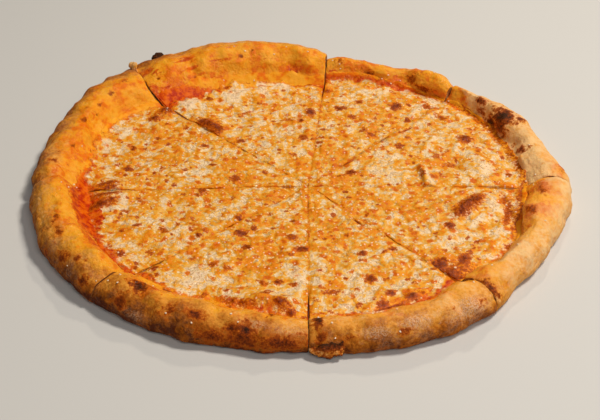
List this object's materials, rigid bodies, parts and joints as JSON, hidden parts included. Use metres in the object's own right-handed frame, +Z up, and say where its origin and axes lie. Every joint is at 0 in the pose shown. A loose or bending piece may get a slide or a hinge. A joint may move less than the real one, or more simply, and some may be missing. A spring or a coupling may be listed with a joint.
{
  "type": "cheese pizza",
  "caption": "Whole round cheese pizza, cut into wedges that still lie together, with a puffed browned rim, a thin base, tomato sauce and blistered melted cheese.",
  "frame": {"origin": "middle of the pizza's box in plan, on the flat underside", "axes": "+Z up out of the cheese; +Y away from the viewer of the picture and +X to their right"},
  "size_m": [0.4104, 0.3874, 0.0342],
  "materials": {
    "baked_dough": "dry baked crust, golden to brown, floury at the foot and charred in spots",
    "tomato_sauce": "wet red-orange sauce",
    "melted_cheese": "oily melted cheese, cream to orange with brown blisters"
  },
  "bodies": {
    "root": {"crust_right_back": "baked_dough", "crust_back_right": "baked_dough", "crust_back": "baked_dough", "crust_left_back": "baked_dough", "crust_left_front": "baked_dough", "crust_front_left": "baked_dough", "crust_front_right": "baked_dough", "crust_right_front": "baked_dough", "sauce_right_back": "tomato_sauce", "sauce_back_right": "tomato_sauce", "sauce_back": "tomato_sauce", "sauce_left_back": "tomato_sauce", "sauce_left_front": "tomato_sauce", "sauce_front_left": "tomato_sauce", "sauce_front_right": "tomato_sauce", "sauce_right_front": "tomato_sauce", "cheese_right_back": "melted_cheese", "cheese_back_right": "melted_cheese", "cheese_back": "melted_cheese", "cheese_left_back": "melted_cheese", "cheese_left_front": "melted_cheese", "cheese_front_left": "melted_cheese", "cheese_front_right": "melted_cheese", "cheese_right_front": "melted_cheese"}
  },
  "joints": []
}
